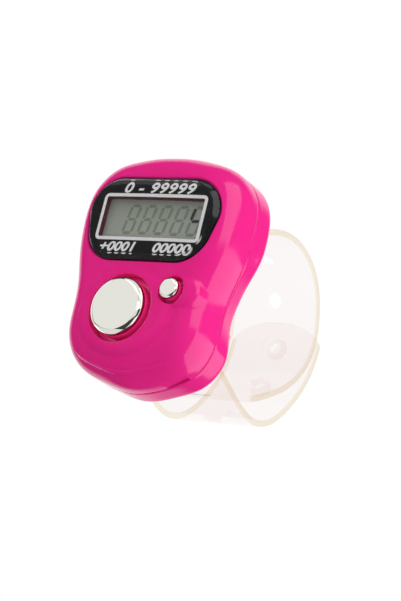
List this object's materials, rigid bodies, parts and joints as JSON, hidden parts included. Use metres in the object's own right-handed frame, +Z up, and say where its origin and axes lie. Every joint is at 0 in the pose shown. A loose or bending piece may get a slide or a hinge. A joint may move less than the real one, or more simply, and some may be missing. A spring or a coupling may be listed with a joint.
{
  "type": "digital tally counter",
  "caption": "Finger-worn digital tally counter: two-part pink casing with a bevelled window, a large count button, a small reset button and a clear adjustable band.",
  "frame": {"origin": "middle of the bottom of the whole counter's box, with the casing upright", "axes": "+X to the right as seen from the front, +Y from the front to the band at the back, +Z up along the casing's length"},
  "size_m": [0.0314, 0.049, 0.0405],
  "materials": {
    "pink_shell": "polished moulded plastic",
    "clear_lens": "clear acrylic",
    "black_label": "black print",
    "display_film": "grey-green film",
    "display_glass": "thin display glass",
    "grey_rubber": "silicone rubber",
    "carbon_rubber": "carbon-filled rubber",
    "board_laminate": "green laminate",
    "black_epoxy": "cast epoxy",
    "chromed_cap": "bright chrome",
    "plated_steel": "nickel-plated steel",
    "clear_band": "clear flexible plastic"
  },
  "bodies": {
    "casing": {"front_shell": "pink_shell", "back_shell": "pink_shell", "window_lens": "clear_lens", "label_mask": "black_label", "display_front_polariser": "display_film", "display_front_glass": "display_glass", "display_rear_glass": "display_glass", "display_reflector": "display_film", "connector_strip": "grey_rubber", "circuit_board": "board_laminate", "chip_cover": "black_epoxy", "count_dome": "grey_rubber", "reset_dome": "grey_rubber", "cell_negative_contact": "plated_steel", "cell_positive_contact": "plated_steel", "button_cell": "plated_steel", "case_screw_1": "plated_steel", "case_screw_2": "plated_steel", "case_screw_3": "plated_steel", "case_screw_4": "plated_steel", "board_screw_1": "plated_steel", "board_screw_2": "plated_steel", "finger_band": "clear_band"},
    "count_key": {"count_button": "chromed_cap", "count_contact_pill": "carbon_rubber"},
    "reset_key": {"reset_button": "chromed_cap", "reset_contact_pill": "carbon_rubber"}
  },
  "joints": [
    {"name": "count_press", "type": "slide", "parent": "casing", "child": "count_key", "axis": [0, 1, 0], "range_m": [0, 0.001], "stiffness_N_per_m": 900, "deforming": ["count_dome"]},
    {"name": "reset_press", "type": "slide", "parent": "casing", "child": "reset_key", "axis": [0, 1, 0], "range_m": [0, 0.0008], "stiffness_N_per_m": 700, "deforming": ["reset_dome"]}
  ]
}
